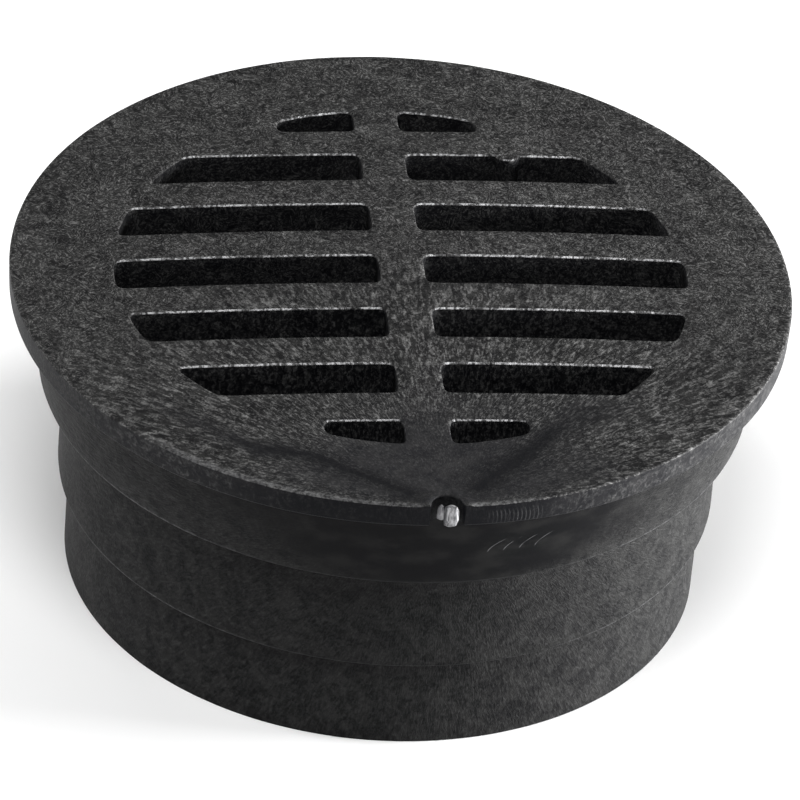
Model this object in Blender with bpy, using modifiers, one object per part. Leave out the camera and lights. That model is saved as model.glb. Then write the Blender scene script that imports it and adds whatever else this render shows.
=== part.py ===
"""Round drop-in floor drain grate for nominal 4 inch drain pipe and fittings.

The real grate is one moulding: a domed, slotted top in a wide flange, over an open skirt
that steps in twice so that it seats in three sizes of pipe or fitting. It is drawn here
as the members of that moulding: flange ring, spine, twelve bars, three skirt stages and
the stub left where the mould was filled. Metres, +Z up, origin under the centre of the
lower edge; the bars run along X and the filling point faces -Y.
"""
import math

import bpy

# Skirt, from the bottom up. Each stage is set by itself, so it can suit another pipe.
LOWER_RADIUS = 0.0512
LOWER_TAPER = 0.0002
LOWER_HEIGHT = 0.0162
MIDDLE_RADIUS = 0.05315
MIDDLE_TAPER = 0.0001
MIDDLE_HEIGHT = 0.01955
UPPER_RADIUS = 0.0573
UPPER_TAPER = 0.0026
UPPER_HEIGHT = 0.0147
WALL = 0.0025

# Flange: how far it stands out past the skirt, and its upright outer face.
FLANGE_OVERHANG = 0.0031
LAND_HEIGHT = 0.00435
LAND_DRAFT = 0.0002

# Slotted top
PLATE_DEPTH = 0.00555
SLOT_CIRCLE = 0.0463
SLOT_ROWS = 7
SLOT_PITCH = 0.01468
SLOT_WIDTH = 0.0075
END_SLOT_REACH = 0.0164
SPINE_WIDTH = 0.00725
DOME_RISE = 0.0018
FLANGE_RISE = 0.0004
DOME_RINGS = 5

# Half-round rib on the far wall of one slot
RIB_RADIUS = 0.0022
RIB_STAND_OUT = 0.0013
RIB_FROM_END = 0.0114
RIB_BAR = 1
RIB_TOP_GAP = 0.0003

# Filling point in the rim
GATE_X = 0.0013
GATE_NOTCH_RADIUS = 0.0026
STUB_WIDTH = 0.0032
STUB_DEPTH = 0.0017
STUB_TOP_GAP = 0.0006

# Members are kept this far apart where they meet on a curve, and each skirt stage is let
# this deep into a rebate in the member above, so that the seat round it is a face by itself.
MEMBER_GAP = 0.0003
REBATE_DEPTH = 0.001
TURN_STEPS = 96
CUT_MARGIN = 0.002
MERGE_DISTANCE = 0.00001
SHARP_ANGLE = math.radians(30)

# Worked out from the sizes above
LOWER_TOP = LOWER_HEIGHT
MIDDLE_TOP = LOWER_TOP + MIDDLE_HEIGHT
UPPER_TOP = MIDDLE_TOP + UPPER_HEIGHT
RIM_HEIGHT = UPPER_TOP + LAND_HEIGHT
PLATE_BOTTOM = RIM_HEIGHT - PLATE_DEPTH
LOWER_TOP_RADIUS = LOWER_RADIUS + LOWER_TAPER
MIDDLE_TOP_RADIUS = MIDDLE_RADIUS + MIDDLE_TAPER
UPPER_TOP_RADIUS = UPPER_RADIUS + UPPER_TAPER
RIM_RADIUS = UPPER_TOP_RADIUS + FLANGE_OVERHANG
CORE_RADIUS = SLOT_CIRCLE - MEMBER_GAP

BLACK_PLASTIC = (0.022, 0.022, 0.024, 1.0)
TORN_PLASTIC = (0.30, 0.30, 0.31, 1.0)
SKIRT_ROUGHNESS = 0.55
TOP_ROUGHNESS = 0.62


def clear_scene():
    """Remove whatever the file already holds."""
    for old in list(bpy.data.objects):
        bpy.data.objects.remove(old, do_unlink=True)


def new_collection(name):
    """Make a collection and link it to the scene."""
    collection = bpy.data.collections.new(name)
    bpy.context.scene.collection.children.link(collection)
    return collection


def plastic(name, colour, roughness):
    """A plain moulded plastic."""
    material = bpy.data.materials.new(name)
    material.use_nodes = True
    shader = material.node_tree.nodes["Principled BSDF"]
    shader.inputs["Base Color"].default_value = colour
    shader.inputs["Roughness"].default_value = roughness
    shader.inputs["Metallic"].default_value = 0.0
    return material


def settle(obj, name, collection):
    """Name an object and leave it in one collection only."""
    for owner in list(obj.users_collection):
        owner.objects.unlink(obj)
    collection.objects.link(obj)
    obj.name = name
    obj.data.name = name


def as_cutter(obj):
    """Mark an object as a construction aid."""
    obj.hide_render = True
    obj.display_type = "WIRE"
    return obj


def turned(name, profile, collection, closed=True):
    """Turn a profile of (radius, height) points about the Z axis."""
    count = len(profile)
    edges = [(i, i + 1) for i in range(count - 1)]
    if closed:
        edges.append((count - 1, 0))
    mesh = bpy.data.meshes.new(name)
    mesh.from_pydata([(radius, 0.0, height) for radius, height in profile], edges, [])
    obj = bpy.data.objects.new(name, mesh)
    collection.objects.link(obj)
    screw = obj.modifiers.new("Turn", "SCREW")
    screw.angle = 2.0 * math.pi
    screw.steps = TURN_STEPS
    screw.render_steps = TURN_STEPS
    screw.use_merge_vertices = True
    screw.merge_threshold = MERGE_DISTANCE
    return obj


def block(name, low, high, collection):
    """A box between two corners, with its size in its mesh."""
    bpy.ops.mesh.primitive_cube_add(size=1.0)
    obj = bpy.context.active_object
    for vertex in obj.data.vertices:
        for axis in range(3):
            middle = 0.5 * (low[axis] + high[axis])
            vertex.co[axis] = middle + vertex.co[axis] * (high[axis] - low[axis])
    settle(obj, name, collection)
    return obj


def post(name, radius, centre, bottom, top, collection):
    """An upright round post."""
    bpy.ops.mesh.primitive_cylinder_add(
        vertices=32, radius=radius, depth=top - bottom,
        location=(centre[0], centre[1], 0.5 * (bottom + top)))
    obj = bpy.context.active_object
    settle(obj, name, collection)
    return obj


def combine(obj, other, operation):
    """Add a Boolean modifier that keeps the exact solver."""
    modifier = obj.modifiers.new(operation.title(), "BOOLEAN")
    modifier.operation = operation
    modifier.object = other
    modifier.solver = "EXACT"


def finish(obj, material):
    """Give a member its material and its shading."""
    obj.data.materials.append(material)
    obj.data.shade_smooth()
    obj.data.set_sharp_from_angle(angle=SHARP_ANGLE)


def top_height(radius):
    """Height of the top face: a dome over the slots, then a slow fall to the rim."""
    if radius <= SLOT_CIRCLE:
        return RIM_HEIGHT + DOME_RISE - (DOME_RISE - FLANGE_RISE) * (radius / SLOT_CIRCLE) ** 2
    return RIM_HEIGHT + FLANGE_RISE * (RIM_RADIUS - radius) / (RIM_RADIUS - SLOT_CIRCLE)


def dome_points(reach):
    """The domed part of a profile, from the centre out."""
    radii = [reach * ring / DOME_RINGS for ring in range(DOME_RINGS + 1)]
    return [(radius, top_height(radius)) for radius in radii]


def make_plate_core(cutters):
    """The domed disc that gives the spine and the bars their top and their ends."""
    profile = dome_points(CORE_RADIUS)
    profile += [(CORE_RADIUS, PLATE_BOTTOM), (0.0, PLATE_BOTTOM)]
    return as_cutter(turned("plate_core", profile, cutters, closed=False))


def make_slot_field(cutters):
    """The round field of slots, less the corners where the first and last rows stop short."""
    low = PLATE_BOTTOM - CUT_MARGIN
    high = RIM_HEIGHT + DOME_RISE + CUT_MARGIN
    profile = [(0.0, high), (SLOT_CIRCLE, high), (SLOT_CIRCLE, low), (0.0, low)]
    field = as_cutter(turned("slot_field", profile, cutters, closed=False))
    row_side = 0.5 * ((SLOT_ROWS - 1) * SLOT_PITCH - SLOT_WIDTH) + MEMBER_GAP
    reach = SLOT_CIRCLE + CUT_MARGIN
    for across in (-1.0, 1.0):
        for along in (-1.0, 1.0):
            near, far = sorted((across * END_SLOT_REACH, across * reach))
            front, back = sorted((along * row_side, along * reach))
            corner = block("row_end", (near, front, low - CUT_MARGIN),
                           (far, back, high + CUT_MARGIN), cutters)
            combine(field, as_cutter(corner), "DIFFERENCE")
    return field


def make_flange_ring(parts, cutters, material):
    """The wide ring round the slots, thicker inside the skirt, notched for the gate."""
    rebate_radius = UPPER_TOP_RADIUS + MEMBER_GAP
    rebate_top = UPPER_TOP + REBATE_DEPTH
    step_radius = UPPER_TOP_RADIUS - WALL - 2.0 * MEMBER_GAP
    profile = dome_points(SLOT_CIRCLE)
    profile += [
        (RIM_RADIUS, RIM_HEIGHT),
        (RIM_RADIUS - LAND_DRAFT, UPPER_TOP),
        (rebate_radius, UPPER_TOP),
        (rebate_radius, rebate_top),
        (step_radius, rebate_top),
        (step_radius, PLATE_BOTTOM),
        (0.0, PLATE_BOTTOM),
    ]
    ring = turned("flange_ring", profile, parts, closed=False)
    combine(ring, make_slot_field(cutters), "DIFFERENCE")
    centre = (GATE_X, -RIM_RADIUS)
    notch = post("gate_notch", GATE_NOTCH_RADIUS, centre,
                 UPPER_TOP - CUT_MARGIN, RIM_HEIGHT + CUT_MARGIN, cutters)
    combine(ring, as_cutter(notch), "DIFFERENCE")
    finish(ring, material)


def make_gate_stub(parts, material):
    """The torn stub of the sprue, standing inside the notch."""
    back = STUB_DEPTH - RIM_RADIUS
    low = (GATE_X - 0.5 * STUB_WIDTH, back - STUB_DEPTH, UPPER_TOP)
    high = (GATE_X + 0.5 * STUB_WIDTH, back, RIM_HEIGHT - STUB_TOP_GAP)
    finish(block("gate_stub", low, high, parts), material)


def make_spine(parts, core, material):
    """The web across the middle that splits every slot row in two."""
    half = 0.5 * SPINE_WIDTH
    low = (-half, -SLOT_CIRCLE - CUT_MARGIN, PLATE_BOTTOM - CUT_MARGIN)
    high = (half, SLOT_CIRCLE + CUT_MARGIN, RIM_HEIGHT + DOME_RISE + CUT_MARGIN)
    spine = block("centre_spine", low, high, parts)
    combine(spine, core, "INTERSECT")
    finish(spine, material)


def add_wall_rib(bar, wall_y, cutters):
    """The small half-round rib on one slot wall, set in from that slot's outer end."""
    slot_end = math.sqrt(CORE_RADIUS ** 2 - wall_y ** 2)
    centre = (slot_end - RIB_FROM_END, wall_y + RIB_RADIUS - RIB_STAND_OUT)
    top = top_height(math.hypot(*centre)) - RIB_TOP_GAP
    rib = post("wall_rib", RIB_RADIUS, centre, PLATE_BOTTOM, top, cutters)
    combine(bar, as_cutter(rib), "UNION")


def make_bars(parts, cutters, core, material):
    """The bars between the slot rows, numbered from +Y, on each side of the spine."""
    bar_count = SLOT_ROWS - 1
    for number in range(1, bar_count + 1):
        middle = (0.5 * SLOT_ROWS - number) * SLOT_PITCH
        half = 0.5 * (SLOT_PITCH - SLOT_WIDTH)
        for side, sign in (("left", -1.0), ("right", 1.0)):
            ends = sorted((sign * 0.5 * SPINE_WIDTH, sign * (SLOT_CIRCLE + CUT_MARGIN)))
            low = (ends[0], middle - half, PLATE_BOTTOM - CUT_MARGIN)
            high = (ends[1], middle + half, RIM_HEIGHT + DOME_RISE + CUT_MARGIN)
            bar = block(f"{side}_bar_{number}", low, high, parts)
            combine(bar, core, "INTERSECT")
            if side == "right" and number == RIB_BAR:
                add_wall_rib(bar, middle - half, cutters)
            finish(bar, material)


def make_hanging_stage(name, bottom, top, radii, below_radius, parts, material):
    """A skirt stage with a ledge inwards, rebated for the stage that hangs below it."""
    bottom_radius, top_radius = radii
    rebate_radius = below_radius + MEMBER_GAP
    rebate_top = bottom + REBATE_DEPTH
    ledge_top = rebate_top + WALL
    profile = [
        (top_radius - WALL, top + REBATE_DEPTH),
        (top_radius, top + REBATE_DEPTH),
        (bottom_radius, bottom),
        (rebate_radius, bottom),
        (rebate_radius, rebate_top),
        (below_radius - WALL, rebate_top),
        (below_radius - WALL, ledge_top),
        (bottom_radius - WALL, ledge_top),
    ]
    finish(turned(name, profile, parts), material)


def make_lowest_stage(name, top, radii, parts, material):
    """The last stage of the skirt: a plain wall down to the open edge."""
    bottom_radius, top_radius = radii
    profile = [
        (top_radius - WALL, top + REBATE_DEPTH),
        (top_radius, top + REBATE_DEPTH),
        (bottom_radius, 0.0),
        (bottom_radius - WALL, 0.0),
    ]
    finish(turned(name, profile, parts), material)


def make_skirt(parts, material):
    """The three stages, each hanging from the one above."""
    make_hanging_stage("upper_skirt", MIDDLE_TOP, UPPER_TOP, (UPPER_RADIUS, UPPER_TOP_RADIUS),
                       MIDDLE_TOP_RADIUS, parts, material)
    make_hanging_stage("middle_skirt", LOWER_TOP, MIDDLE_TOP, (MIDDLE_RADIUS, MIDDLE_TOP_RADIUS),
                       LOWER_TOP_RADIUS, parts, material)
    make_lowest_stage("lower_skirt", LOWER_TOP, (LOWER_RADIUS, LOWER_TOP_RADIUS), parts, material)


def main():
    """Build the whole grate."""
    clear_scene()
    parts = new_collection("floor_drain_grate")
    cutters = new_collection("cutters")
    top_plastic = plastic("grained_black_plastic", BLACK_PLASTIC, TOP_ROUGHNESS)
    skirt_plastic = plastic("moulded_black_plastic", BLACK_PLASTIC, SKIRT_ROUGHNESS)
    torn_plastic = plastic("torn_gate_plastic", TORN_PLASTIC, TOP_ROUGHNESS)
    core = make_plate_core(cutters)
    make_flange_ring(parts, cutters, top_plastic)
    make_spine(parts, core, top_plastic)
    make_bars(parts, cutters, core, top_plastic)
    make_skirt(parts, skirt_plastic)
    make_gate_stub(parts, torn_plastic)


main()
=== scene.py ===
"""Round black floor drain grate: the finished look of one moulding in grained polyolefin."""
import math

import bmesh
import bpy
from mathutils import Matrix, Vector, noise


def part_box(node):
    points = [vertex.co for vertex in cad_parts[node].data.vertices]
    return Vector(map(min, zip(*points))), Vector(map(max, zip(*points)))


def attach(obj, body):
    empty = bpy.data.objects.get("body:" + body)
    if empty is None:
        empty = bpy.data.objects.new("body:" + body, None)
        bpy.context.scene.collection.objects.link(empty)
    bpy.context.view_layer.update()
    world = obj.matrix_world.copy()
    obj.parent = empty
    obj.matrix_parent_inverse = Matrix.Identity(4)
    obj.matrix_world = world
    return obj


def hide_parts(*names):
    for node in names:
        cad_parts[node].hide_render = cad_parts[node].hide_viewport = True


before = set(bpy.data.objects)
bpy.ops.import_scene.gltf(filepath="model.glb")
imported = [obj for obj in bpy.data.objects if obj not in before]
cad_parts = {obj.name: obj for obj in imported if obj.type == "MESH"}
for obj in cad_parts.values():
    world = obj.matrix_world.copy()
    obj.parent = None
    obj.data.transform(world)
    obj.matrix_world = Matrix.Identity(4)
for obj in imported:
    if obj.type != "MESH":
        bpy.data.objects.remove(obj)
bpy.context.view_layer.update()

# Sizes taken from the frame, in metres
RIM_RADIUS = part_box("flange_ring")[1][0]
FLANGE_LOW, FLANGE_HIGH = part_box("flange_ring")
SPINE_LOW, SPINE_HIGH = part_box("centre_spine")
UPPER_LOW, UPPER_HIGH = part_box("upper_skirt")
MIDDLE_LOW, MIDDLE_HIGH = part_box("middle_skirt")
LOWER_LOW, LOWER_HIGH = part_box("lower_skirt")
STUB_LOW, STUB_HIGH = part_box("gate_stub")
BAR_HIGH = [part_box(f"right_bar_{number}")[1] for number in range(1, 7)]
BAR_LOW = [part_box(f"right_bar_{number}")[0] for number in range(1, 7)]

PLATE_BOTTOM = FLANGE_LOW[2]
PLATE_TOP = SPINE_HIGH[2]
SPINE_WIDTH = SPINE_HIGH[0] - SPINE_LOW[0]
SLOT_PITCH = BAR_HIGH[1][1] - BAR_HIGH[2][1]
BAR_WIDTH = BAR_HIGH[1][1] - BAR_LOW[1][1]
SLOT_WIDTH = SLOT_PITCH - BAR_WIDTH
SLOT_ROWS = len(BAR_HIGH) + 1
SLOT_CIRCLE = SPINE_HIGH[1] + 0.0003
FLANGE_RISE = 0.0004
RIM_HEIGHT = FLANGE_HIGH[2] - FLANGE_RISE
DOME_RISE = PLATE_TOP - RIM_HEIGHT
LAND_BOTTOM = STUB_LOW[2]
GATE_X = 0.5 * (STUB_LOW[0] + STUB_HIGH[0])

END_SLOT_REACH = 0.0164
UPPER_TAPER = 0.0026
MIDDLE_TAPER = 0.0001
LOWER_TAPER = 0.0002

# Finish sizes
SLOT_STEP = 0.0004
CORNER_BLUR = 9
EDGE_RADIUS = 0.0004
RIM_STEPS = 1400
NOTCH_RADIUS = 0.0027
FRONT_EASE = 0.00055
FRONT_EASE_SPREAD = 0.030
FRONT_LIFT = 0.0003
LIP_RISE = 0.00022
LIP_RADIUS = 0.0034
LIP_WIDTH = 0.0007
SLICE = 0.0014
TURN_STEPS = 288
WALL = 0.0025
SEAM_BITE = 0.0003
LAND_BITE = 0.0008
SHARP_ANGLE = math.radians(38)

# Camera
CAMERA_DISTANCE = 2.1152
CAMERA_ELEVATION = math.radians(34.87)
CAMERA_AZIMUTH = math.radians(-8.35)
CAMERA_ROLL = math.radians(4.86)
CAMERA_LENS = 592.9
AIM_RIGHT = 0.00147
AIM_DROP = 0.02429


def mm(value):
    """Millimetres to metres."""
    return value * 0.001


class Tree:
    """Short calls for adding and joining nodes."""

    def __init__(self, tree):
        self.tree = tree

    def set(self, socket, value):
        """Give a socket a value, or link another socket to it."""
        if isinstance(value, bpy.types.NodeSocket):
            self.tree.links.new(value, socket)
        else:
            socket.default_value = value

    def add(self, kind, inputs=None, **settings):
        """Add a node, set its options, then its inputs by name or number."""
        node = self.tree.nodes.new(kind)
        for name, value in settings.items():
            setattr(node, name, value)
        for key, value in (inputs or {}).items():
            self.set(node.inputs[key], value)
        return node


def put_math(t, prefix):
    """Give a tree helper its number and vector arithmetic."""
    def number(operation, *values, clamp=False):
        node = t.add("ShaderNodeMath", operation=operation, use_clamp=clamp)
        for index, value in enumerate(values):
            t.set(node.inputs[index], value)
        return node.outputs[0]

    def vector(operation, *values):
        node = t.add("ShaderNodeVectorMath", operation=operation)
        for index, value in enumerate(values):
            t.set(node.inputs[index], value)
        return node.outputs["Value" if operation in ("LENGTH", "DOT_PRODUCT") else "Vector"]

    def combine(x=0.0, y=0.0, z=0.0):
        node = t.add("ShaderNodeCombineXYZ", {0: x, 1: y, 2: z})
        return node.outputs[0]

    def split(value):
        return t.add("ShaderNodeSeparateXYZ", {0: value}).outputs

    t.number, t.vector, t.combine, t.split, t.kind = number, vector, combine, split, prefix
    return t


# ---------------------------------------------------------------- the slotted plate

PLATE_INPUTS = (
    ("Rim Radius", "NodeSocketFloat", RIM_RADIUS),
    ("Slot Circle", "NodeSocketFloat", SLOT_CIRCLE),
    ("Slot Rows", "NodeSocketInt", SLOT_ROWS),
    ("Slot Pitch", "NodeSocketFloat", SLOT_PITCH),
    ("Slot Width", "NodeSocketFloat", SLOT_WIDTH),
    ("End Slot Reach", "NodeSocketFloat", END_SLOT_REACH),
    ("Spine Width", "NodeSocketFloat", SPINE_WIDTH),
    ("Slot Step", "NodeSocketFloat", SLOT_STEP),
    ("Corner Blur", "NodeSocketInt", CORNER_BLUR),
    ("Edge Radius", "NodeSocketFloat", EDGE_RADIUS),
    ("Depth", "NodeSocketFloat", RIM_HEIGHT - PLATE_BOTTOM),
    ("Gate X", "NodeSocketFloat", GATE_X),
    ("Notch Radius", "NodeSocketFloat", NOTCH_RADIUS),
)


def tree_with_inputs(name, inputs):
    """A geometry tree with one geometry output and the given named inputs."""
    tree = bpy.data.node_groups.new(name, "GeometryNodeTree")
    tree.interface.new_socket("Geometry", in_out="OUTPUT", socket_type="NodeSocketGeometry")
    for label, kind, value in inputs:
        socket = tree.interface.new_socket(label, in_out="INPUT", socket_type=kind)
        if value is not None:
            socket.default_value = value
    return tree


def slot_loops(t, size):
    """Closed loops for the slots right of the spine, then the same turned half round."""
    half_spine = t.number("MULTIPLY", size["Spine Width"], 0.5)
    length = t.number("SUBTRACT", size["Slot Circle"], half_spine)
    slot = t.add("GeometryNodeCurvePrimitiveQuadrilateral",
                 {"Width": length, "Height": size["Slot Width"]})
    dense = t.add("GeometryNodeResampleCurve", {"Curve": slot.outputs[0], "Count": 400})
    middle = t.number("ADD", half_spine, t.number("MULTIPLY", length, 0.5))
    first = t.number("MULTIPLY", t.number("SUBTRACT", size["Slot Rows"], 1.0),
                     t.number("MULTIPLY", size["Slot Pitch"], -0.5))
    rows = t.add("GeometryNodeMeshLine", {
        "Count": size["Slot Rows"], "Start Location": t.combine(middle, first),
        "Offset": t.combine(0.0, size["Slot Pitch"])})
    placed = t.add("GeometryNodeInstanceOnPoints",
                   {"Points": rows.outputs[0], "Instance": dense.outputs[0]})
    real = t.add("GeometryNodeRealizeInstances", {0: placed.outputs[0]})
    spot = t.split(t.add("GeometryNodeInputPosition").outputs[0])
    circle_2 = t.number("MULTIPLY", size["Slot Circle"], size["Slot Circle"])
    top_y = t.number("SQRT", t.number("SUBTRACT", circle_2,
                                      t.number("MULTIPLY", half_spine, half_spine)))
    y = t.number("MAXIMUM", t.number("MINIMUM", spot[1], top_y),
                 t.number("MULTIPLY", top_y, -1.0))
    reach = t.number("SQRT", t.number("SUBTRACT", circle_2, t.number("MULTIPLY", y, y)))
    half_row = t.number("MULTIPLY", size["Slot Width"], 0.6)
    end_row = t.number("GREATER_THAN", t.number("ABSOLUTE", spot[1]),
                       t.number("SUBTRACT", t.number("ABSOLUTE", first), half_row))
    limit = t.number("ADD", size["End Slot Reach"],
                     t.number("MULTIPLY", t.number("SUBTRACT", 1.0, end_row), 1.0))
    reach = t.number("MINIMUM", reach, limit)
    x = t.number("MAXIMUM", t.number("MINIMUM", spot[0], reach), half_spine)
    cut = t.add("GeometryNodeSetPosition",
                {"Geometry": real.outputs[0], "Position": t.combine(x, y)})
    even = t.add("GeometryNodeResampleCurve",
                 {"Curve": cut.outputs[0], "Length": size["Slot Step"]}, mode="LENGTH")
    blur = t.add("GeometryNodeBlurAttribute", data_type="FLOAT_VECTOR")
    t.set(blur.inputs["Iterations"], size["Corner Blur"])
    vector_in = [s for s in blur.inputs if s.type == "VECTOR" and s.enabled][0]
    t.set(vector_in, t.add("GeometryNodeInputPosition").outputs[0])
    vector_out = [s for s in blur.outputs if s.type == "VECTOR" and s.enabled][0]
    round_ = t.add("GeometryNodeSetPosition",
                   {"Geometry": even.outputs[0], "Position": vector_out})
    turned = t.add("GeometryNodeTransform",
                   {"Geometry": round_.outputs[0], "Rotation": (0.0, 0.0, math.pi)})
    both = t.add("GeometryNodeJoinGeometry")
    t.set(both.inputs[0], round_.outputs[0])
    t.set(both.inputs[0], turned.outputs[0])
    return both.outputs[0]


def rim_loop(t, size):
    """The outer circle, with the half-round gate notch pressed into it at -Y."""
    circle = t.add("GeometryNodeCurvePrimitiveCircle",
                   {"Resolution": RIM_STEPS, "Radius": size["Rim Radius"]})
    spot = t.split(t.add("GeometryNodeInputPosition").outputs[0])
    across = t.number("SUBTRACT", spot[0], size["Gate X"])
    left = t.number("SUBTRACT", t.number("MULTIPLY", size["Notch Radius"], size["Notch Radius"]),
                    t.number("MULTIPLY", across, across))
    depth = t.number("SQRT", t.number("MAXIMUM", left, 0.0))
    front = t.number("LESS_THAN", spot[1], 0.0)
    push = t.combine(0.0, t.number("MULTIPLY", depth, front))
    notched = t.add("GeometryNodeSetPosition", {"Geometry": circle.outputs[0], "Offset": push})
    return notched.outputs[0]


def edge_profile(t, size):
    """The section of every edge: a small round, the wall, and a small round below."""
    line = t.add("GeometryNodeMeshLine", {"Count": 4})
    pick = t.add("GeometryNodeIndexSwitch", data_type="VECTOR")
    pick.index_switch_items.new()
    pick.index_switch_items.new()
    edge, depth = size["Edge Radius"], size["Depth"]
    inward = t.number("MULTIPLY", edge, -1.0)
    for number, corner in enumerate((t.combine(inward, 0.0), t.combine(0.0, 0.0),
                                     t.combine(0.0, depth), t.combine(inward, depth))):
        t.set(pick.inputs[number + 1], corner)
    t.set(pick.inputs[0], t.add("GeometryNodeInputIndex").outputs[0])
    bent = t.add("GeometryNodeSetPosition",
                 {"Geometry": line.outputs[0], "Position": pick.outputs[0]})
    curve = t.add("GeometryNodeMeshToCurve", {0: bent.outputs[0]})
    fillet = t.add("GeometryNodeFilletCurve", {"Curve": curve.outputs[0]}, mode="POLY")
    t.set(fillet.inputs["Count"], 3)
    t.set(fillet.inputs["Radius"], edge)
    return fillet.outputs[0]


def plate_tree():
    """Flat slotted plate: swept edges round every loop, and a filled face above and below."""
    tree = tree_with_inputs("slotted_plate", PLATE_INPUTS
                            + (("Material", "NodeSocketMaterial", None),))
    t = put_math(Tree(tree), "geometry")
    size = t.add("NodeGroupInput").outputs
    loops = t.add("GeometryNodeJoinGeometry")
    reverse = t.add("GeometryNodeReverseCurve", {0: slot_loops(t, size)})
    t.set(loops.inputs[0], reverse.outputs[0])
    t.set(loops.inputs[0], rim_loop(t, size))
    upright = t.add("GeometryNodeSetCurveNormal", {"Curve": loops.outputs[0]}, mode="Z_UP")
    walls = t.add("GeometryNodeCurveToMesh",
                  {"Curve": upright.outputs[0], "Profile Curve": edge_profile(t, size)})
    inward = t.vector("SCALE", t.add("GeometryNodeInputNormal").outputs[0])
    scale = inward.node.inputs["Scale"]
    t.set(scale, t.number("MULTIPLY", size["Edge Radius"], -1.0))
    inset = t.add("GeometryNodeSetPosition", {"Geometry": upright.outputs[0], "Offset": inward})
    top = t.add("GeometryNodeFillCurve", {0: inset.outputs[0]}, mode="TRIANGLES")
    down = t.combine(0.0, 0.0, t.number("MULTIPLY", size["Depth"], -1.0))
    bottom = t.add("GeometryNodeTransform", {"Geometry": top.outputs[0], "Translation": down})
    whole = t.add("GeometryNodeJoinGeometry")
    for piece in (walls, top, bottom):
        t.set(whole.inputs[0], piece.outputs[0])
    welded = t.add("GeometryNodeMergeByDistance", {"Geometry": whole.outputs[0]})
    t.set(welded.inputs["Distance"], 0.00001)
    real = t.add("GeometryNodeRealizeInstances", {0: welded.outputs[0]})
    coloured = t.add("GeometryNodeSetMaterial", {"Geometry": real.outputs[0]})
    t.set(coloured.inputs["Material"], size["Material"])
    t.add("NodeGroupOutput", {0: coloured.outputs[0]})
    return tree


def grown(name, tree, values):
    """Evaluate a geometry tree and return its result as a plain object."""
    holder = bpy.data.objects.new(name, bpy.data.meshes.new(name + "_seed"))
    bpy.context.scene.collection.objects.link(holder)
    modifier = holder.modifiers.new("Grow", "NODES")
    modifier.node_group = tree
    for item in tree.interface.items_tree:
        if item.item_type == "SOCKET" and item.in_out == "INPUT" and item.name in values:
            modifier[item.identifier] = values[item.name]
    depsgraph = bpy.context.evaluated_depsgraph_get()
    mesh = bpy.data.meshes.new_from_object(holder.evaluated_get(depsgraph))
    holder.modifiers.remove(modifier)
    seed = holder.data
    holder.data = mesh
    mesh.name = name
    bpy.data.meshes.remove(seed)
    return holder


def rise(radius):
    """How far the top face stands above the rim: a dome over the slots, then a slow fall."""
    if radius <= SLOT_CIRCLE:
        return DOME_RISE - (DOME_RISE - FLANGE_RISE) * (radius / SLOT_CIRCLE) ** 2
    return FLANGE_RISE * (RIM_RADIUS - radius) / (RIM_RADIUS - SLOT_CIRCLE)


def underside(radius):
    """Height of the underside: deep over the slots, shallower out at the land."""
    inner, outer = mm(56.0), mm(58.0)
    share = min(max((radius - inner) / (outer - inner), 0.0), 1.0)
    return PLATE_BOTTOM + (LAND_BOTTOM - PLATE_BOTTOM) * share


def hollow(point, depth, size):
    """A shallow wander of the surface, always inwards."""
    return depth * 0.5 * (noise.noise(point / size) - 1.0)


def sliced(bm, step, reach):
    """Cut a mesh along an even grid so that broad flat faces can bend."""
    count = int(reach / step)
    for axis in (Vector((1.0, 0.0, 0.0)), Vector((0.0, 1.0, 0.0))):
        for number in range(-count, count + 1):
            everything = bm.verts[:] + bm.edges[:] + bm.faces[:]
            bmesh.ops.bisect_plane(bm, geom=everything, dist=1e-6,
                                   plane_co=axis * (number * step + 0.37 * step), plane_no=axis)


def front_share(point):
    """How close a point of the rim is to the gate, where the moulding has shrunk a little."""
    if point.y > -0.5 * RIM_RADIUS:
        return 0.0
    return math.exp(-((point.x - GATE_X) / FRONT_EASE_SPREAD) ** 2)


def dome_plate(obj):
    """Bend the flat plate to its dome, its thinner rim and a slightly uneven surface."""
    bm = bmesh.new()
    bm.from_mesh(obj.data)
    sliced(bm, SLICE, RIM_RADIUS)
    depth = RIM_HEIGHT - PLATE_BOTTOM
    for vertex in bm.verts:
        point = vertex.co
        radius = point.xy.length
        if point.z > -0.5 * depth:
            point.z += RIM_HEIGHT + rise(radius)
            flat = Vector((point.x, point.y, 0.0))
            point.z += hollow(flat, mm(0.05), mm(5.0)) + hollow(flat, mm(0.03), mm(1.6))
            from_gate = Vector((point.x - GATE_X, point.y + RIM_RADIUS)).length
            point.z += LIP_RISE * math.exp(-((from_gate - LIP_RADIUS) / LIP_WIDTH) ** 2)
        else:
            point.z += depth + underside(radius) + FRONT_LIFT * front_share(point)
            if radius > RIM_RADIUS - mm(1.0):
                point.xy *= 1.0 - mm(0.2) / RIM_RADIUS
        if radius > RIM_RADIUS - mm(4.0):
            point.xy *= 1.0 - FRONT_EASE * front_share(point) / RIM_RADIUS
    bmesh.ops.recalc_face_normals(bm, faces=bm.faces[:])
    bm.to_mesh(obj.data)
    bm.free()


def smooth_shade(obj):
    """Smooth shading that keeps real corners and lets the broad faces rule."""
    obj.data.shade_smooth()
    obj.data.set_sharp_from_angle(angle=SHARP_ANGLE)
    weighted = obj.modifiers.new("Weighted", "WEIGHTED_NORMAL")
    weighted.keep_sharp = True
    weighted.weight = 80


def finish_piece(obj, material, slot, *nodes):
    """Material, body and the frame nodes that a piece stands for; the finish slot argument is not used."""
    if not obj.data.materials or obj.data.materials[0] is not material:
        obj.data.materials.clear()
        obj.data.materials.append(material)
    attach(obj, "root")
    if nodes:
        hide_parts(*nodes)
    return obj


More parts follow.
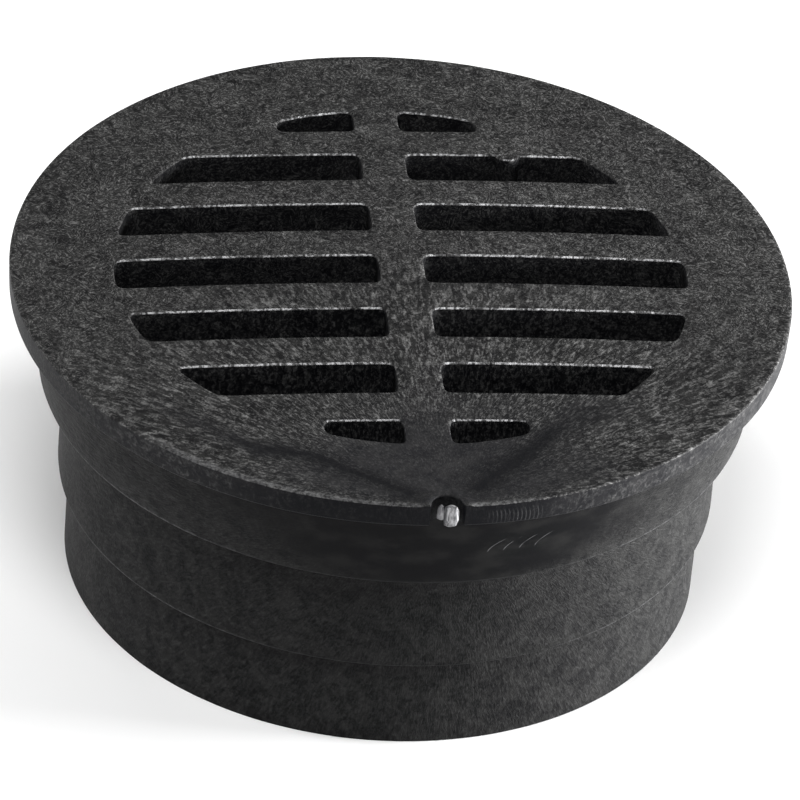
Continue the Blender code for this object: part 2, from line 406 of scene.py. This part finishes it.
def make_top(material):
    """The whole top: flange, land, spine and bars as one unbroken face."""
    plate = grown("slotted_top", plate_tree(), {"Material": material})
    dome_plate(plate)
    plate.data.materials.clear()
    smooth_shade(plate)
    bars = [f"{side}_bar_{number}" for side in ("left", "right") for number in range(1, SLOT_ROWS)]
    return finish_piece(plate, material, "grained_black_plastic",
                        "flange_ring", "centre_spine", *bars)


# ---------------------------------------------------------------- the skirt

def rounded(corners, step=mm(1.6), arc_steps=4):
    """A closed section from (radius, height, fillet) corners, its long sides divided."""
    outline = []
    count = len(corners)
    for number, (radius, height, fillet) in enumerate(corners):
        here = Vector((radius, height))
        before = Vector(corners[number - 1][:2])
        after = Vector(corners[(number + 1) % count][:2])
        if fillet <= 0.0:
            outline.append(here)
            continue
        start = here + (before - here).normalized() * fillet
        end = here + (after - here).normalized() * fillet
        for piece in range(arc_steps + 1):
            share = piece / arc_steps
            outline.append((1 - share) ** 2 * start + 2 * share * (1 - share) * here
                           + share ** 2 * end)
    divided = []
    for number, point in enumerate(outline):
        following = outline[(number + 1) % len(outline)]
        pieces = max(1, round((following - point).length / step))
        divided += [point.lerp(following, share / pieces) for share in range(pieces)]
    return divided


def turned_shell(name, corners):
    """Turn a closed section round the axis and return a plain closed mesh."""
    section = rounded(corners)
    count = len(section)
    seed = bpy.data.meshes.new(name + "_section")
    edges = [(number, (number + 1) % count) for number in range(count)]
    seed.from_pydata([(point.x, 0.0, point.y) for point in section], edges, [])
    obj = bpy.data.objects.new(name, seed)
    bpy.context.scene.collection.objects.link(obj)
    screw = obj.modifiers.new("Turn", "SCREW")
    screw.angle = 2.0 * math.pi
    screw.steps = screw.render_steps = TURN_STEPS
    screw.use_merge_vertices = True
    screw.merge_threshold = 0.00001
    depsgraph = bpy.context.evaluated_depsgraph_get()
    obj.data = bpy.data.meshes.new_from_object(obj.evaluated_get(depsgraph))
    obj.data.name = name
    obj.modifiers.clear()
    bpy.data.meshes.remove(seed)
    bm = bmesh.new()
    bm.from_mesh(obj.data)
    for vertex in bm.verts:
        out = Vector((vertex.co.x, vertex.co.y, 0.0)).normalized()
        vertex.co += out * hollow(vertex.co, mm(0.07), mm(7.0))
    bmesh.ops.recalc_face_normals(bm, faces=bm.faces[:])
    bm.to_mesh(obj.data)
    bm.free()
    return obj


def stage_corners(low, high, radius, top_radius, below_radius):
    """Section of a stage: its wall, and the ledge that carries the stage below."""
    ledge = below_radius - WALL
    return [
        (top_radius - WALL, high, 0.0),
        (top_radius, high, 0.0),
        (radius, low, mm(0.8)),
        (ledge, low, 0.0),
        (ledge, low + WALL, mm(0.9)),
        (radius - WALL, low + WALL, mm(0.8)),
    ]


def make_skirt(material):
    """The three stages of the skirt, each let a hair into the one above."""
    upper = stage_corners(UPPER_LOW[2], LAND_BOTTOM + LAND_BITE, UPPER_HIGH[0] - UPPER_TAPER,
                          UPPER_HIGH[0], MIDDLE_HIGH[0])
    middle = stage_corners(MIDDLE_LOW[2], UPPER_LOW[2] + SEAM_BITE,
                           MIDDLE_HIGH[0] - MIDDLE_TAPER, MIDDLE_HIGH[0], LOWER_HIGH[0])
    lower = [
        (LOWER_HIGH[0] - WALL, MIDDLE_LOW[2] + SEAM_BITE, 0.0),
        (LOWER_HIGH[0], MIDDLE_LOW[2] + SEAM_BITE, 0.0),
        (LOWER_HIGH[0] - LOWER_TAPER, LOWER_LOW[2], mm(0.25)),
        (LOWER_HIGH[0] - LOWER_TAPER - WALL, LOWER_LOW[2], mm(0.25)),
    ]
    for stage, corners in (("upper", upper), ("middle", middle), ("lower", lower)):
        shell = turned_shell(f"{stage}_skirt_shell", corners)
        smooth_shade(shell)
        finish_piece(shell, material, "moulded_black_plastic", f"{stage}_skirt")


# ---------------------------------------------------------------- small features

def lump(bm, low, high, roughness, seed):
    """A torn, rounded lump between two corners."""
    made = bmesh.ops.create_cube(bm, size=1.0)["verts"]
    edges = list({edge for vertex in made for edge in vertex.link_edges})
    bmesh.ops.subdivide_edges(bm, edges=edges, cuts=9, use_grid_fill=True)
    fresh = [vertex for vertex in bm.verts if vertex.tag is False]
    size = high - low
    for vertex in fresh:
        point = vertex.co.lerp(vertex.co.normalized() * 0.5, 0.72)
        spot = Vector([low[a] + (point[a] + 0.5) * size[a] for a in range(3)])
        tear = noise.noise_vector(spot / mm(0.9) + Vector((seed, 0.0, 0.0)))
        vertex.co = spot + tear * roughness
        vertex.tag = True


def make_gate_stub(material):
    """The torn stub in the gate notch: two pale bulges with a split between them."""
    bm = bmesh.new()
    split = STUB_LOW[0] + 0.36 * (STUB_HIGH[0] - STUB_LOW[0])
    half_gap = mm(-0.08)
    lump(bm, Vector((STUB_LOW[0], STUB_LOW[1] + mm(0.7), STUB_LOW[2] + mm(1.3))),
         Vector((split - half_gap, STUB_HIGH[1], STUB_HIGH[2] + mm(0.5))), mm(0.2), 3.0)
    lump(bm, Vector((split + half_gap, STUB_LOW[1] + mm(0.5), STUB_LOW[2] + mm(0.05))),
         Vector((STUB_HIGH[0] + mm(0.3), STUB_HIGH[1], STUB_HIGH[2] + mm(0.5))), mm(0.22), 11.0)
    mesh = bpy.data.meshes.new("torn_gate_stub")
    bm.to_mesh(mesh)
    bm.free()
    stub = bpy.data.objects.new("torn_gate_stub", mesh)
    bpy.context.scene.collection.objects.link(stub)
    mesh.shade_smooth()
    finish_piece(stub, material, "torn_gate_plastic", "gate_stub")


def make_wall_rib(material):
    """The half-round rib on the far wall of one slot."""
    radius, stand_out, from_end = mm(2.2), mm(1.3), mm(11.4)
    wall_y = BAR_LOW[0][1] + stand_out
    x = math.sqrt(SPINE_HIGH[1] ** 2 - wall_y ** 2) - from_end
    centre = Vector((x, wall_y + radius - stand_out, 0.0))
    top = RIM_HEIGHT + rise(centre.length) - mm(0.05)
    bm = bmesh.new()
    bmesh.ops.create_cone(bm, cap_ends=True, segments=48, radius1=radius, radius2=radius,
                          depth=top - PLATE_BOTTOM)
    caps = [edge for edge in bm.edges if abs(edge.verts[0].co.z - edge.verts[1].co.z) < 1e-6]
    bmesh.ops.bevel(bm, geom=caps, offset=mm(0.3), segments=4, profile=0.5, affect="EDGES")
    bmesh.ops.translate(bm, verts=bm.verts[:],
                        vec=centre + Vector((0.0, 0.0, 0.5 * (top + PLATE_BOTTOM))))
    mesh = bpy.data.meshes.new("slot_wall_rib")
    bm.to_mesh(mesh)
    bm.free()
    rib = bpy.data.objects.new("slot_wall_rib", mesh)
    bpy.context.scene.collection.objects.link(rib)
    smooth_shade(rib)
    finish_piece(rib, material, "grained_black_plastic")


# ---------------------------------------------------------------- materials

def smooth_step(t, value, low, high):
    """Rise smoothly from 0 at low to 1 at high; falls instead where low is the larger."""
    node = t.add("ShaderNodeMapRange", interpolation_type="SMOOTHSTEP")
    for name, number in (("Value", value), ("From Min", low), ("From Max", high)):
        t.set(node.inputs[name], number)
    return node.outputs["Result"]


def cloud(t, point, scale, detail=4.0, roughness=0.55, distortion=0.0):
    """Noise at a scale in cycles per unit of its coordinates."""
    node = t.add("ShaderNodeTexNoise", {"Vector": point, "Scale": scale, "Detail": detail,
                                        "Roughness": roughness, "Distortion": distortion})
    return node.outputs["Fac"]


def blend(t, share, first, second):
    """Mix two numbers."""
    node = t.add("ShaderNodeMix", data_type="FLOAT")
    for index, value in ((0, share), (2, first), (3, second)):
        t.set(node.inputs[index], value)
    return node.outputs[0]


def tint(t, share, first, second):
    """Mix two colours."""
    node = t.add("ShaderNodeMix", data_type="RGBA")
    for index, value in ((0, share), (6, first), (7, second)):
        t.set(node.inputs[index], value)
    return node.outputs[2]


def new_material(name):
    """An empty material with its tree helper, shader and object coordinates in mm."""
    material = bpy.data.materials.new(name)
    material.use_nodes = True
    tree = material.node_tree
    t = put_math(Tree(tree), "shader")
    place = t.add("ShaderNodeTexCoord").outputs["Object"]
    point = t.vector("MULTIPLY", place, (1000.0, 1000.0, 1000.0))
    return material, t, tree.nodes["Principled BSDF"], point


def around_gate(t, across, away):
    """Distance from the gate, and the angle off the straight way in or down from it."""
    distance = t.number("SQRT", t.number("ADD", t.number("MULTIPLY", across, across),
                                         t.number("MULTIPLY", away, away)))
    return t.number("MAXIMUM", distance, 0.5), t.number("ARCTAN2", across, away)


def flow_grain(t, distance, angle, height):
    """Flecks drawn out along the melt's flow away from the gate."""
    ray = t.number("MULTIPLY", angle, 84.0)
    ring = t.number("MULTIPLY", t.number("LOGARITHM", distance, math.e), 24.0)
    return cloud(t, t.combine(ray, ring, height), 1.0, 2.0, 0.6, 0.6)


def curled_grain(t, point):
    """Fibrous grain whose direction wanders with a slow warp."""
    warp = t.add("ShaderNodeTexNoise", {"Vector": point, "Scale": 0.15, "Detail": 2.0})
    push = t.vector("SUBTRACT", warp.outputs["Color"], (0.5, 0.5, 0.5))
    bent = t.vector("ADD", point, t.vector("MULTIPLY", push, (30.0, 30.0, 30.0)))
    return cloud(t, t.vector("MULTIPLY", bent, (1.9, 0.62, 1.2)), 1.0, 2.0, 0.62, 0.4)


def bell(t, value, centre, width):
    """A bump of height 1 round a centre."""
    off = t.number("DIVIDE", t.number("SUBTRACT", value, centre), width)
    return t.number("EXPONENT", t.number("MULTIPLY", t.number("MULTIPLY", off, off), -1.0))


def window(t, value, low, high, soft):
    """One between two limits, falling to nothing over a soft width outside them."""
    return t.number("MULTIPLY", smooth_step(t, value, low - soft, low),
                    smooth_step(t, value, high + soft, high))


def product(t, *shares):
    """Multiply several masks."""
    result = shares[0]
    for share in shares[1:]:
        result = t.number("MULTIPLY", result, share)
    return result


def finish_black(t, shader, point, look):
    """Join a look's masks into colour, roughness and relief."""
    fine = cloud(t, point, 2.3, 1.0, 0.6, 0.8)
    mottle = smooth_step(t, cloud(t, point, 0.3, 3.0, 0.65, 1.2), 0.32, 0.68)
    fleck = t.number("ADD", t.number("MULTIPLY", look["grain"], 0.62),
                     t.number("MULTIPLY", fine, 0.38))
    fleck = smooth_step(t, fleck, look["fleck_low"], look["fleck_high"])
    calm = t.number("SUBTRACT", 1.0, t.number("MULTIPLY", look["smooth"], 0.93))
    fleck = product(t, fleck, calm, blend(t, mottle, 0.6, 1.15))
    body = tint(t, mottle, look["dark"], look["light"])
    body = tint(t, look["smooth"], body, look["skin"])
    body = tint(t, fleck, body, look["fleck"])
    # The pale share lays a colour over the body: painted highlights, and real scratches and chatter marks.
    t.set(shader.inputs["Base Color"], tint(t, look["pale"], body, look["painted_highlight_and_mark"]))
    rough = t.number("ADD", look["rough"], t.number("MULTIPLY", fine, 0.16))
    t.set(shader.inputs["Roughness"], blend(t, look["smooth"], rough, look["skin_rough"]))
    relief = t.number("ADD", t.number("MULTIPLY", look["grain"], 0.7),
                      t.number("MULTIPLY", fine, 0.3))
    bump = t.add("ShaderNodeBump", {"Strength": 1.0, "Height": t.number("MULTIPLY", relief, calm)})
    bump.inputs["Distance"].default_value = look["relief"]
    t.set(shader.inputs["Normal"], bump.outputs[0])


def flow_ray(t, distance, angle, centre, width, near, far):
    """A dark streak of even width running out from the gate."""
    off = t.number("MULTIPLY", distance, t.number("SUBTRACT", angle, centre))
    return t.number("MULTIPLY", bell(t, off, 0.0, width), smooth_step(t, distance, far, near))


def make_top_plastic():
    """Black foamed polyolefin of the top: swirls far off, streaks and a smooth fan in front, with painted
    highlights on front-facing edges and painted shade on slot walls and the front land.
    """
    material, t, shader, point = new_material("grained_black_plastic")
    x, y, z = t.split(point)
    facing = t.split(t.add("ShaderNodeNewGeometry").outputs["Normal"])
    across = t.number("SUBTRACT", x, GATE_X * 1000.0)
    distance, angle = around_gate(t, across, t.number("ADD", y, RIM_RADIUS * 1000.0))
    side = t.number("ABSOLUTE", angle)
    radius = t.vector("LENGTH", t.combine(x, y))
    upright = smooth_step(t, facing[2], 0.4, 0.1)
    land = t.number("MULTIPLY", smooth_step(t, radius, 61.0, 61.8), upright)

    swirl = curled_grain(t, point)
    streak = flow_grain(t, distance, angle, t.number("MULTIPLY", z, 0.9))
    far = smooth_step(t, t.number("ADD", distance, t.number("MULTIPLY", swirl, 24.0)), 62.0, 92.0)
    grain = blend(t, far, streak, swirl)

    wander = t.number("MULTIPLY", t.number("SUBTRACT", cloud(t, point, 0.09, 3.0), 0.5), 26.0)
    wobble = t.number("MULTIPLY", t.number("SUBTRACT", cloud(t, point, 0.05, 2.0), 0.5), 0.35)
    reach = t.number("ADD", distance, wander)
    fan = t.number("MULTIPLY", smooth_step(t, reach, 36.0, 15.0), smooth_step(t, side, 1.5, 1.15))
    bent = t.number("ADD", angle, wobble)
    ray = t.number("MAXIMUM", flow_ray(t, reach, bent, -1.03, 2.2, 28.0, 60.0),
                   flow_ray(t, reach, bent, 0.80, 3.4, 24.0, 52.0))
    ray = t.number("MULTIPLY", ray, smooth_step(t, distance, 2.5, 7.0))
    front = smooth_step(t, t.number("ABSOLUTE", t.number("ADD", across, 6.0)), 35.0, 15.0)
    calm_land = t.number("MULTIPLY", land, blend(t, front, 0.78, 1.0))
    slot_wall = t.number("MULTIPLY", upright, t.number("SUBTRACT", 1.0, land))
    # Painted shade: the slot walls and the land, most of all at the front, share the near-black of the real flow
    # streaks.
    streak_and_shade = t.number("MAXIMUM", t.number("MAXIMUM", ray, slot_wall),
                         t.number("MULTIPLY", land, blend(t, front, 0.4, 1.0)))
    smooth = t.number("MAXIMUM", t.number("MAXIMUM", t.number("MULTIPLY", fan, 0.85),
                                          t.number("MULTIPLY", slot_wall, 0.72)),
                      t.number("MAXIMUM", ray, calm_land))
    smudge = smooth_step(t, cloud(t, point, 0.35, 3.0, 0.6, 0.8), 0.3, 0.7)
    skin = tint(t, smudge, (0.0060, 0.0062, 0.0080, 1.0), (0.0200, 0.0197, 0.0208, 1.0))
    # Near-black colour for the real flow streaks and the painted shade.
    skin = tint(t, streak_and_shade, skin, (0.0012, 0.0014, 0.0025, 1.0))

    # Painted highlight: pale colour on rounded slot edges that face the front, broken up by noise.
    edge = product(t, window(t, facing[2], 0.4, 0.86, 0.12),
                   blend(t, smooth_step(t, cloud(t, point, 1.9, 1.0), 0.4, 0.6), 0.12, 1.0),
                   smooth_step(t, cloud(t, point, 0.35, 3.0, 0.75), 0.3, 0.56))
    tilt = t.vector("LENGTH", t.combine(facing[0], facing[1]))
    ahead = t.number("DIVIDE", t.number("MULTIPLY", facing[1], -1.0),
                     t.number("MAXIMUM", tilt, 0.1))
    rim = smooth_step(t, radius, 60.0, 61.0)
    rim = t.number("MAXIMUM", rim, smooth_step(t, distance, 7.0, 5.0))
    edge = t.number("MULTIPLY", edge, blend(t, rim, smooth_step(t, ahead, 0.84, 0.97), 0.0))
    # Painted highlight along the front part of the rim's top edge.
    rim_highlight = product(t, smooth_step(t, radius, 61.6, 62.3), t.number("SUBTRACT", 1.0, upright),
                       window(t, across, -38.0, 6.0, 12.0), smooth_step(t, distance, 3.4, 4.6),
                       smooth_step(t, y, 0.0, -20.0), smooth_step(t, cloud(t, point, 1.7, 2.0), 0.25, 0.7), 0.16)
    edge = t.number("MAXIMUM", edge, rim_highlight)
    bend = t.number("MULTIPLY", t.number("POWER", t.number("SUBTRACT", z, 52.0), 2.0), 0.12)
    chatter = t.number("SINE", t.number("MULTIPLY", t.number("ADD", across, bend), 9.5))
    chatter = product(t, smooth_step(t, chatter, 0.25, 0.95), window(t, across, 7.5, 14.5, 1.5),
                      window(t, z, 51.3, 53.2, 0.7), land,
                      blend(t, smooth_step(t, cloud(t, point, 0.5, 1.0), 0.35, 0.6), 0.3, 1.0))
    # Pale share: the painted highlights, and faintly the real chatter marks on the land.
    pale = t.number("MAXIMUM", edge, t.number("MULTIPLY", chatter, 0.045))

    shader.inputs["Specular IOR Level"].default_value = 0.08
    finish_black(t, shader, point, {
        "grain": grain, "smooth": smooth, "skin": skin, "skin_rough": 0.5, "rough": 0.5,
        "dark": (0.0045, 0.0045, 0.0049, 1.0), "light": (0.0200, 0.0199, 0.0197, 1.0),
        "fleck": (0.165, 0.164, 0.162, 1.0), "fleck_low": 0.44, "fleck_high": 0.74,
        "pale": pale, "painted_highlight_and_mark": (0.50, 0.50, 0.51, 1.0), "relief": mm(0.26)})
    return material


def make_skirt_plastic():
    """Black polyolefin of the skirt: near smooth below the gate, fine drawn flecks elsewhere, scratches, and a
    painted highlight along the lower edges of the stages.
    """
    material, t, shader, point = new_material("moulded_black_plastic")
    x, y, z = t.split(point)
    facing = t.split(t.add("ShaderNodeNewGeometry").outputs["Normal"])
    turn = t.number("ARCTAN2", x, t.number("MULTIPLY", y, -1.0))
    across = t.number("SUBTRACT", t.number("MULTIPLY", turn, MIDDLE_HIGH[0] * 1000.0),
                      GATE_X * 1000.0)
    down = t.number("SUBTRACT", RIM_HEIGHT * 1000.0, z)
    distance, angle = around_gate(t, across, down)

    streak = flow_grain(t, t.number("POWER", distance, 1.5),
                        t.number("MULTIPLY", angle, 1.4), 0.0)
    swirl = cloud(t, t.vector("MULTIPLY", point, (1.0, 1.0, 0.55)), 1.6, 2.0, 0.62, 1.2)
    back = smooth_step(t, t.number("ABSOLUTE", turn), 1.7, 2.3)
    grain = blend(t, back, streak, swirl)

    wander = t.number("MULTIPLY", t.number("SUBTRACT", cloud(t, point, 0.1, 3.0), 0.5), 0.9)
    reach = t.number("ADD", t.number("ABSOLUTE", t.number("DIVIDE", across, 30.0)),
                     t.number("POWER", t.number("DIVIDE", down, 21.0), 4.0))
    smooth = smooth_step(t, t.number("ADD", reach, wander), 1.5, 0.65)
    smudge = smooth_step(t, cloud(t, t.vector("MULTIPLY", point, (1.0, 1.0, 2.0)), 0.16, 4.0), 0.4,
                         0.7)
    skin = tint(t, smudge, (0.0012, 0.0013, 0.0018, 1.0), (0.0080, 0.0080, 0.0080, 1.0))

    rise_up = t.number("SUBTRACT", 11.2, down)
    line = t.number("SUBTRACT", t.number("SUBTRACT", across, 7.6), rise_up)
    line = t.number("SUBTRACT", line, t.number("MULTIPLY", t.number("POWER", rise_up, 2.0), 0.3))
    off = t.number("PINGPONG", line, 1.2)
    scratch = product(t, smooth_step(t, off, 0.12, 0.02), window(t, line, -1.2, 8.4, 0.2),
                      window(t, rise_up, -0.8, 0.8, 0.6),
                      smooth_step(t, cloud(t, point, 0.5, 2.0), 0.34, 0.52))
    # Painted highlight: pale colour on the downward-facing lower edges of the stages, at the sides only, broken
    # up by noise.
    lower_edge_highlight = product(t, window(t, facing[2], -0.85, -0.3, 0.15),
                         smooth_step(t, cloud(t, point, 1.0, 3.0, 0.75), 0.36, 0.66),
                         smooth_step(t, t.number("ABSOLUTE", turn), 0.3, 0.9))
    pale = t.number("MAXIMUM", t.number("MULTIPLY", scratch, 0.3),
                    t.number("MULTIPLY", lower_edge_highlight, 0.2))

    shader.inputs["Specular IOR Level"].default_value = 0.06
    finish_black(t, shader, point, {
        "grain": grain, "smooth": smooth, "skin": skin, "skin_rough": 0.42, "rough": 0.46,
        "dark": (0.0030, 0.0030, 0.0034, 1.0), "light": (0.0120, 0.0119, 0.0118, 1.0),
        "fleck": (0.028, 0.028, 0.028, 1.0), "fleck_low": 0.38, "fleck_high": 0.78,
        "pale": pale, "painted_highlight_and_mark": (0.30, 0.30, 0.31, 1.0), "relief": mm(0.16)})
    return material


def make_torn_plastic():
    """Torn, stress-whitened plastic at the gate, with painted shade in the split and over its left and lower
    parts.
    """
    material, t, shader, point = new_material("torn_gate_plastic")
    tear = cloud(t, t.vector("MULTIPLY", point, (1.0, 1.0, 0.3)), 1.5, 3.0, 0.6, 0.8)
    pale = smooth_step(t, tear, 0.3, 0.66)
    x, y, z = t.split(point)
    split = 1000.0 * (STUB_LOW[0] + 0.36 * (STUB_HIGH[0] - STUB_LOW[0]))
    slant = t.number("MULTIPLY", t.number("SUBTRACT", z, 52.0), 0.12)
    # Painted shade: a dark line down the split between the lumps, and the left lump and the lower part darkened.
    crack_shade = bell(t, t.number("SUBTRACT", x, slant), split, 0.17)
    shade = t.number("MULTIPLY", smooth_step(t, x, split - 1.2, split + 0.9),
                     smooth_step(t, z, 49.9, 52.4))
    pale = t.number("MULTIPLY", t.number("MULTIPLY", pale, t.number("SUBTRACT", 1.0, crack_shade)),
                    blend(t, shade, 0.35, 1.0))
    t.set(shader.inputs["Base Color"], tint(t, pale, (0.02, 0.02, 0.024, 1.0),
                                            (0.40, 0.40, 0.41, 1.0)))
    t.set(shader.inputs["Roughness"], t.number("ADD", 0.45, t.number("MULTIPLY", tear, 0.3)))
    bump = t.add("ShaderNodeBump", {"Strength": 0.7, "Height": tear})
    bump.inputs["Distance"].default_value = mm(0.25)
    t.set(shader.inputs["Normal"], bump.outputs[0])
    return material


def make_floor_finish():
    """Pale matt studio floor."""
    material, t, shader, point = new_material("studio_floor")
    tone = cloud(t, point, 0.01, 2.0)
    t.set(shader.inputs["Base Color"], tint(t, tone, (0.92, 0.92, 0.92, 1.0),
                                            (0.95, 0.95, 0.95, 1.0)))
    shader.inputs["Roughness"].default_value = 0.9
    return material


# ---------------------------------------------------------------- the studio

def make_floor():
    """A wide pale floor under the grate."""
    mesh = bpy.data.meshes.new("floor")
    bm = bmesh.new()
    bmesh.ops.create_grid(bm, x_segments=2, y_segments=2, size=6.0)
    bm.to_mesh(mesh)
    bm.free()
    floor = bpy.data.objects.new("floor", mesh)
    bpy.context.scene.collection.objects.link(floor)
    mesh.materials.append(make_floor_finish())


def area_light(name, azimuth, elevation, distance, size, power):
    """A soft square light aimed at the grate; azimuth 0 is the camera's side."""
    light = bpy.data.lights.new(name, "AREA")
    light.shape = "RECTANGLE"
    light.size, light.size_y = size
    light.energy = power
    lamp = bpy.data.objects.new(name, light)
    bpy.context.scene.collection.objects.link(lamp)
    a, e = math.radians(azimuth), math.radians(elevation)
    away = Vector((math.sin(a) * math.cos(e), -math.cos(a) * math.cos(e), math.sin(e)))
    aim = Vector((0.0, 0.0, 0.5 * RIM_HEIGHT))
    lamp.location = aim + away * distance
    lamp.rotation_euler = (-away).to_track_quat("-Z", "Y").to_euler()


def make_lights():
    """Soft key above the front, a low fill at the right, and an even pale surround."""
    area_light("front_key", -14.0, 62.0, 1.1, (0.45, 0.35), 9.0)
    area_light("right_fill", 88.0, 3.2, 1.0, (0.4, 0.15), 54.0)
    area_light("left_fill", -110.0, 14.0, 1.2, (0.4, 0.4), 9.0)
    area_light("back_light", 172.0, 50.0, 1.2, (1.2, 0.7), 5.0)
    world = bpy.data.worlds.new("studio")
    world.use_nodes = True
    background = world.node_tree.nodes["Background"]
    background.inputs["Color"].default_value = (1.0, 1.0, 1.0, 1.0)
    background.inputs["Strength"].default_value = 0.10
    bpy.context.scene.world = world
    bpy.context.scene.view_settings.view_transform = "Standard"


def make_camera():
    """The camera: round the rim's centre, aimed a little lower, slightly rolled."""
    data = bpy.data.cameras.new("camera")
    data.lens = CAMERA_LENS
    data.sensor_width = 36.0
    data.clip_start = 0.1
    camera = bpy.data.objects.new("camera", data)
    bpy.context.scene.collection.objects.link(camera)
    flat = math.cos(CAMERA_ELEVATION) * CAMERA_DISTANCE
    rim_centre = Vector((0.0, 0.0, RIM_HEIGHT))
    camera.location = rim_centre + Vector((
        math.sin(CAMERA_AZIMUTH) * flat, -math.cos(CAMERA_AZIMUTH) * flat,
        math.sin(CAMERA_ELEVATION) * CAMERA_DISTANCE))
    right = Vector((math.cos(CAMERA_AZIMUTH), math.sin(CAMERA_AZIMUTH), 0.0))
    target = rim_centre + right * AIM_RIGHT - Vector((0.0, 0.0, AIM_DROP))
    look = (target - camera.location).to_track_quat("-Z", "Y").to_matrix().to_4x4()
    turn = look @ Matrix.Rotation(CAMERA_ROLL, 4, "Z")
    camera.rotation_euler = turn.to_euler()
    bpy.context.scene.camera = camera


def main():
    """Build every piece, then the studio."""
    top_plastic = make_top_plastic()
    make_top(top_plastic)
    make_wall_rib(top_plastic)
    make_skirt(make_skirt_plastic())
    make_gate_stub(make_torn_plastic())
    make_floor()
    make_lights()
    make_camera()


main()
